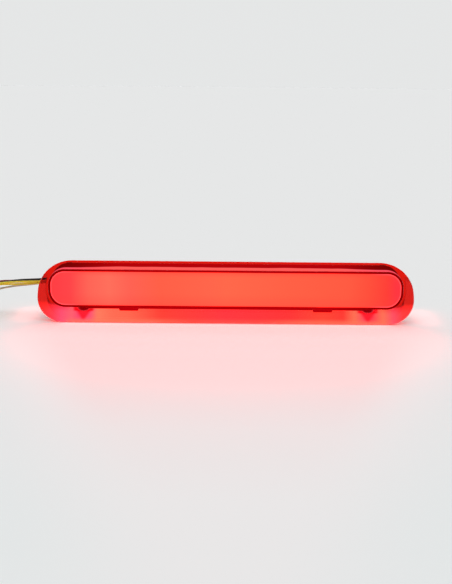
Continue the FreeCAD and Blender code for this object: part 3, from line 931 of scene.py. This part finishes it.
bandPlan = {                 # the lamp's own light in the flange, under the light box
    # green and blue along the band, from its left end to its right
    "stops": [(0.02, 0.022, 0.026), (0.045, 0.042, 0.072), (0.067, 0.078, 0.165), (0.094, 0.115, 0.155),
              (0.112, 0.060, 0.150), (0.144, 0.085, 0.165), (0.162, 0.200, 0.110), (0.20, 0.150, 0.085),
              (0.246, 0.132, 0.074), (0.33, 0.050, 0.034), (0.50, 0.036, 0.048), (0.667, 0.032, 0.034),
              (0.754, 0.060, 0.034), (0.81, 0.040, 0.030), (0.84, 0.160, 0.085), (0.865, 0.062, 0.100),
              (0.888, 0.045, 0.078), (0.915, 0.165, 0.090), (0.942, 0.078, 0.122), (0.968, 0.034, 0.038)],
    "ceiling": 0.0152,       # the band's height in the middle, and how much higher it is at the ends
    "ceilingRise": 0.0100,
    "ceilingEdge": (0.0, -0.0005),
    "endFade": (0.0200, 0.0085),
    "foot": (0.0058, 0.0003),            # a warmer line along the foot, weaker in the middle
    "footSides": (0.03, 0.08),
    "footLevel": (0.35, 0.65, 0.75),     # in the middle, added at the sides, and of the whole
    "footColour": (0.185, 0.105),
    # a wedge of shade under each post, in millimetres: how it narrows, its edge and its height
    "wedgeSlope": 0.75,
    "wedgeEdge": (1.6, -3.2),
    "wedgeUp": (1.0, 4.5),
    "wedgeTop": (8.0, 11.5),
    "wedgeLevel": 0.95,
    "wedgeRed": ((0.92, 0.006, 0.020), (0.50, 0.0, 0.006)),  # low down and at the top
    "shadeUp": (9.4, 11.2),              # and a wider shade at the top
    "shadeAcross": (11.5, 8.0),
    "shadeRed": (0.62, 0.002, 0.008),
}

coverPlan = {                # what hides the inside of the lens, partly with painted light and shade
    "notFoot": (-0.017, -0.010),         # the dark rim is set in by this much, except along the foot
    "rimInset": 0.0005,
    "rimDeep": (0.0016, 0.0010),
    "shadowLineUp": ((0.0119, 0.0127), (0.0175, 0.0165)),         # the box's painted shadow line under its foot
    "shadowLineSides": (0.149, 0.140),
    "shadowLineGap": (0.0, -0.0001),
    "wallIn": (0.0010, 0.0004),          # the box's top wall
    "wallAbove": (0.0090, 0.0135),
    "wallOut": (0.0025, 0.0030),
    "topLit": 0.0132,                    # how far back the top wall is painted lit, from the face
    "topLitLess": 0.0060,                # less at the ends
    "topUneven": 0.006,
    "topEdge": (0.0014, -0.0016),
    # the top wall's painted lamp light in front and painted shade behind, in the middle and at the ends
    "topLitPink": ((0.98, 0.108, 0.098), (0.98, 0.080, 0.125)),
    "topShade": ((0.40, 0.0, 0.002), (0.12, 0.0, 0.0)),
    "pocketX": 0.095,                    # the two tongue pockets, painted dark as shade
    "pocketHalf": 0.0094,
    "pocketEdge": (0.0004, 0.0),
    "pocketUp": ((0.0108, 0.0113), (0.0156, 0.0152)),
    "pocketDeep": (0.0046, 0.0036),
    "pocketShade": (0.40, 0.0, 0.003),
    "crownGap": (0.0, -0.0006),          # the flange above the box, painted as a red glow
    "crownAbove": (0.0040, 0.0100),
    "crownOut": (-0.0001, 0.0005),
    "besideGap": ((-0.0003, -0.0012), (-0.0062, -0.0040)),   # and close to the box's ends, painted as the same red glow
    "besideUp": (0.0125, 0.0185),
    "besideLevel": 0.92,
    "spotUp": 12.6,                      # the posts' dark ends, in millimetres
    "spotSquash": 2.4,
    "spotEdge": (6.4, 3.8),
    "spotDark": (0.20, 0.0, 0.002),
}


class LensPoint:             # where a point of the lens is, as values that its masks share
    def __init__(self, finish, plan):
        self.x, y, self.z = finish.place()
        self.side = abs(self.x)
        self.above = self.z - boxMiddle
        self.depth = y - faceY
        self.out = (self.z + lampPlan["floorDrop"]) * across - (y - lampPlan["panelY"]) * upward
        self.gap = boxGap(self.x, self.z)
        self.inside = self.gap.rise(*plan["inside"])
        self.ends = self.side.rise(*plan["ends"])
        self.endZone = self.side.rise(*plan["endZone"])
        self.front = self.out.rise(*plan["skin"]) * self.out.rise(*plan["skinTop"])
        self.bossSide = abs(self.side - lampPlan["bossX"] + plan["bossShift"]) * 1000.0
        self.bossUp = self.z * 1000.0


def bandLight(finish, point, plan, strength):
    reach = lensPlan["halfWidth"]
    stops = [(place, shade(strength, green, blue, strength)) for place, green, blue in plan["stops"]]
    colour = finish.ramp((point.x + reach) / (2 * reach), stops)
    middle, sides, whole = plan["footLevel"]
    foot = point.z.rise(*plan["foot"]) * (1 - point.endZone)
    foot = foot * (middle + sides * point.side.rise(*plan["footSides"]))
    warm = finish.mix(foot * whole, colour, shade(strength, *plan["footColour"], strength))
    wedge = (point.bossSide - plan["wedgeSlope"] * point.bossUp).rise(*plan["wedgeEdge"])
    wedge = wedge * point.bossUp.rise(*plan["wedgeUp"])
    lowRed, topRed = plan["wedgeRed"]
    wedgeTop = point.bossUp.rise(*plan["wedgeTop"])
    wedgeRed = finish.mix(wedgeTop, shade(*lowRed, strength), shade(*topRed, strength))
    warm = finish.mix(wedge * plan["wedgeLevel"], warm, wedgeRed)
    shadow = point.bossUp.rise(*plan["shadeUp"]) * point.bossSide.rise(*plan["shadeAcross"])
    warm = finish.mix(shadow, warm, shade(*plan["shadeRed"], strength))
    ceiling = plan["ceiling"] + plan["ceilingRise"] * point.endZone
    low = (point.z - ceiling).rise(*plan["ceilingEdge"]) * (1 - point.endZone)
    low = low + point.endZone * point.z.rise(*plan["endFade"])
    band = low * point.front * (1 - point.inside)
    return finish.mix(band, (0.0, 0.0, 0.0), warm)


def rimMask(point, plan):
    inset = plan["rimInset"] * point.above.rise(*plan["notFoot"])
    return (point.gap - inset).rise(*lensPlan["inside"]) * point.depth.rise(*plan["rimDeep"])


# the box's painted shadow line on the flange, under its foot
def shadowLineMask(point, plan):
    low, high = plan["shadowLineUp"]
    shadowLine = point.z.rise(*low) * point.z.rise(*high) * point.front * point.gap.rise(*plan["shadowLineGap"])
    return shadowLine * point.side.rise(*plan["shadowLineSides"])


def wallMask(point, plan, rim):
    wall = point.inside * point.gap.rise(*plan["wallIn"]) * point.above.rise(*plan["wallAbove"])
    return wall * (1 - rim) * point.out.rise(*plan["wallOut"])


def pocketMask(point, plan):
    low, high = plan["pocketUp"]
    wide = (abs(point.side - plan["pocketX"]) - plan["pocketHalf"]).rise(*plan["pocketEdge"])
    return wide * point.z.rise(*low) * point.z.rise(*high) * point.depth.rise(*plan["pocketDeep"])


def crownMask(point, plan):
    crown = point.gap.rise(*plan["crownGap"]) * point.above.rise(*plan["crownAbove"])
    return crown * point.out.rise(*plan["crownOut"])


def besideMask(point, plan):
    near, far = plan["besideGap"]
    return point.gap.rise(*near) * point.gap.rise(*far) * point.z.rise(*plan["besideUp"]) * point.front


def spotMask(point, plan):
    up = (point.bossUp - plan["spotUp"]) * plan["spotSquash"]
    reach = (point.bossSide * point.bossSide + up * up) ** 0.5
    return reach.rise(*plan["spotEdge"]) * point.front


def coverings(finish, point, plan, strength):    # the mask of all that hides the inside, and its colour, with painted light and shade among it
    def both(pair):          # a colour that goes from its middle value to its end value
        return finish.mix(point.ends, shade(*pair[0], strength), shade(*pair[1], strength))

    rim = rimMask(point, plan)
    shadowLine = shadowLineMask(point, plan)
    wall = wallMask(point, plan, rim)
    pocket = pocketMask(point, plan)
    crown = crownMask(point, plan)
    beside = besideMask(point, plan)
    spot = spotMask(point, plan)
    uneven = (finish.noise(30.0, 2.0, 0.5) - 0.5) * plan["topUneven"]
    reach = plan["topLit"] - plan["topLitLess"] * point.ends + uneven
    start, full = plan["topEdge"]
    # the top wall: painted lamp light near the face, painted shade further back
    litWall = point.depth.rise(reach + start, reach + full)
    topRed = finish.mix(litWall, both(plan["topShade"]), both(plan["topLitPink"]))
    covered = rim.atLeast(wall).atLeast(pocket).atLeast(crown).atLeast(spot)
    covered = covered.atLeast(beside * plan["besideLevel"]).atLeast(shadowLine)
    shown = finish.mix(rim, topRed, both(lensPlan["rimDarkAndShadow"]))
    # a painted red glow on the flange above and beside the box
    shown = finish.mix(crown.atLeast(beside), shown, shade(*lensPlan["crownGlow"], strength))
    # the painted shadow line under the box, in the dark rim's red
    shown = finish.mix(shadowLine, shown, both(lensPlan["rimDarkAndShadow"]))
    # painted shade in the tongue pockets
    shown = finish.mix(pocket, shown, shade(*plan["pocketShade"], strength))
    shown = finish.mix(spot, shown, shade(*plan["spotDark"], strength))
    return covered, shown


def lensFinish(plan):        # clear red acrylic
    strength = plan["strength"]
    finish = Finish("clear_red")
    point = LensPoint(finish, plan)
    clear = finish.shader(
        Base_Color=(1, 1, 1),
        Roughness=0.02,
        IOR=1.49,
        Transmission_Weight=1.0,
        Specular_IOR_Level=0.32,
        Emission_Color=bandLight(finish, point, bandPlan, strength),
        Emission_Strength=strength,
    )
    covered, shown = coverings(finish, point, coverPlan, strength)
    hidden = finish.shader(
        Base_Color=(0.06, 0.001, 0.001),
        Roughness=0.12,
        Specular_IOR_Level=0.0,
        Emission_Color=shown,
        Emission_Strength=strength,
    )
    finish.show(finish.cover(covered, clear, hidden))
    tint = finish.add("ShaderNodeVolumeAbsorption", None, {"Color": (0.985, 0.11, 0.0), "Density": 1800.0})
    finish.tree.links.new(tint.outputs[0], finish.output.inputs["Volume"])
    return finish


dress(nodes["outer_lens"], lensFinish(lensPlan))
print("lens dressed")


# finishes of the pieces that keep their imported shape

def plainFinish(name, colour, roughness, metallic=0.0, grain=1500.0, bump=0.1):
    finish = Finish(name)
    marks = finish.noise(grain, 4.0, 0.6)
    darker = tuple(0.82 * c for c in colour)
    finish.surface(
        Base_Color=finish.mix(marks, darker, colour),
        Roughness=roughness - 0.05 + 0.1 * marks,
        Metallic=metallic,
        Normal=finish.bump(marks, bump, 0.0001),
    )
    return finish


finishes = {                 # by the record's material slots
    "black_shell": plainFinish("black_shell", (0.022, 0.022, 0.024), 0.5, 0.0, 2200.0, 0.3),
    "seal_orange": plainFinish("seal_orange", (0.70, 0.20, 0.04), 0.5),
    "zinc_steel": plainFinish("zinc_steel", (0.72, 0.71, 0.68), 0.28, 1.0, 700.0, 0.08),
    "board_white": plainFinish("board_white", (0.80, 0.81, 0.79), 0.35),
    "led_white": plainFinish("led_white", (0.86, 0.85, 0.80), 0.35),
    "led_gel": plainFinish("led_gel", (0.90, 0.76, 0.25), 0.12),
    "chip_black": plainFinish("chip_black", (0.02, 0.02, 0.02), 0.5),
    "solder_tin": plainFinish("solder_tin", (0.75, 0.76, 0.77), 0.25, 1.0),
    "can_alu": plainFinish("can_alu", (0.75, 0.76, 0.77), 0.3, 1.0),
    "wire_black": plainFinish("inner_black", (0.015, 0.015, 0.016), 0.4),
    "lock_red": plainFinish("lock_red", (0.50, 0.03, 0.02), 0.4),
    "vent_grey": plainFinish("vent_grey", (0.45, 0.46, 0.47), 0.8, 0.0, 3000.0, 0.5),
}
for entry in frame["record"]["subparts"]:
    if entry["material_slot"] in finishes:
        dress(nodes[entry["node"]], finishes[entry["material_slot"]])


def litReflector():
    finish = Finish("lit_white")
    finish.surface(
        Base_Color=(0.86, 0.86, 0.84),
        Roughness=0.4,
        Emission_Color=(1.0, 0.02, 0.03),
        Emission_Strength=1.6,
    )
    return finish


dress(nodes["reflector_frame"], litReflector())
print("finishes given")


# the table, the room's light and the lamp's light on the table

stagePlan = {
    "radius": 9.0,
    "paper": (0.90, 0.905, 0.905),
    # how pink the paper is painted with the distance in front of the lamp, a painted pool of the lamp's red
    # light, in metres: green and blue
    "paintedRedLight": [(0.02, 1.0), (0.045, 0.96), (0.076, 0.89), (0.125, 0.87), (0.178, 0.88), (0.227, 0.915),
             (0.291, 0.965), (0.345, 0.98), (0.41, 1.0)],
    "narrow": 0.35,          # the painted pink light narrows by this much of the distance
    "beside": (0.17, 0.235),
    "behind": (0.012, 0.0),
    # beside the pink the paper is painted a little greyer, as shade, less so further away
    "greyNarrow": 0.30,
    "greySide": (0.16, 0.26),
    "greyStart": (0.0, 0.03),
    "greyLess": (0.16, 0.36),
    "greyEnd": (0.75, 0.40),
    "greyWide": (0.50, 0.25),
    "greyShade": (0.895, 0.985, 0.985),
}


def paperFinish(plan):
    finish = Finish("studio_paper")
    x, y, z = finish.place()
    side = abs(x)
    ahead = faceY - y
    # the lamp's red light on the paper, painted into its colour as pink
    paintedRedLight = finish.ramp(ahead, [(place, (1.0, green, green)) for place, green in plan["paintedRedLight"]])
    beside = (side + plan["narrow"] * ahead).rise(*plan["beside"]).atLeast(ahead.rise(*plan["behind"]))
    plain = finish.mix(beside, paintedRedLight, (1.0, 1.0, 1.0))
    # painted shade beside the pink, which takes some red out of the paper
    greyShade = (side + plan["greyNarrow"] * ahead).rise(*plan["greySide"]) * ahead.rise(*plan["greyStart"])
    greyShade = greyShade * (1 - 0.5 * ahead.rise(*plan["greyLess"]))
    greyShade = greyShade * ahead.rise(*plan["greyEnd"]) * side.rise(*plan["greyWide"])
    plain = finish.mix(greyShade, plain, plan["greyShade"])
    paper = finish.mix(1.0, plain, plan["paper"], "MULTIPLY")
    finish.surface(Base_Color=paper, Roughness=1.0, Specular_IOR_Level=0.0)
    return finish


def makeStage(plan):
    deselect()
    bpy.ops.mesh.primitive_circle_add(vertices=96, radius=plan["radius"], fill_type="NGON")
    floor = bpy.context.object
    floor.name = "studio_floor"
    dress(floor, paperFinish(plan))


makeStage(stagePlan)

lightPlan = {
    "backdrop": (0.785, 0.795, 0.795),
    "dim": 0.15,             # the room in front of the lamp and along the horizon
    "bright": 1.40,          # the soft light overhead and behind
    "overhead": (0.27, 0.50),
    "behind": (-0.62, 0.05),
    "white": (0.995, 1.0, 1.0),
}


class Sky(Finish):
    def __init__(self, name):
        self.world = bpy.data.worlds.new(name)
        self.world.use_nodes = True
        self.tree = self.world.node_tree
        self.tree.nodes.clear()
        self.output = self.add("ShaderNodeOutputWorld")


def makeSky(plan):
    sky = Sky("soft_studio")
    bpy.context.scene.world = sky.world
    x, y, z = sky.direction()
    overhead = z.rise(*plan["overhead"]) * y.rise(*plan["behind"])
    strength = plan["dim"] + (plan["bright"] - plan["dim"]) * overhead
    light = sky.add("ShaderNodeBackground", None, {"Color": plan["white"], "Strength": strength})
    paper = sky.add("ShaderNodeBackground", None, {"Color": plan["backdrop"], "Strength": 1.0})
    seen = sky.value(sky.add("ShaderNodeLightPath"), "Is Camera Ray")
    both = sky.add("ShaderNodeMixShader", None, {0: seen})
    sky.tree.links.new(light.outputs[0], both.inputs[1])
    sky.tree.links.new(paper.outputs[0], both.inputs[2])
    sky.tree.links.new(both.outputs[0], sky.output.inputs["Surface"])


beams = {                    # the light that the lamp throws on the table
    "face_beam": {
        "place": (0, faceY - 0.002, boxMiddle),
        "tip": -90,
        "size": (0.28, 0.034),
        "power": 0.66,
        "colour": (1.0, 0.006, 0.007),
    },
    "foot_glow": {
        "place": (0, lensY - 0.001, 0.010),
        "tip": -90,
        "size": (0.322, 0.017),
        "power": 0.0185,
        "colour": (1.0, 0.90, 0.90),
    },
}
for side, x in (("left", -0.199), ("right", 0.199)):
    beams["end_glow_" + side] = {
        "place": (x, -0.004, 0.012),
        "tip": 0,
        "size": (0.022, 0.06),
        "power": 0.0036,
        "colour": (1.0, 0.22, 0.22),
    }


def addBeam(name, plan):
    tip = math.radians(plan["tip"])
    bpy.ops.object.light_add(type="AREA", location=plan["place"], rotation=(tip, 0, 0))
    beam = bpy.context.object
    beam.name = name
    beam.data.shape = "RECTANGLE"
    beam.data.size, beam.data.size_y = plan["size"]
    beam.data.energy = plan["power"]
    beam.data.color = plan["colour"]
    beam.visible_camera = False
    beam.visible_glossy = False
    beam.visible_transmission = False


makeSky(lightPlan)
for name, plan in beams.items():
    addBeam(name, plan)
bpy.context.scene.view_settings.view_transform = "Standard"
print("stage and light set")
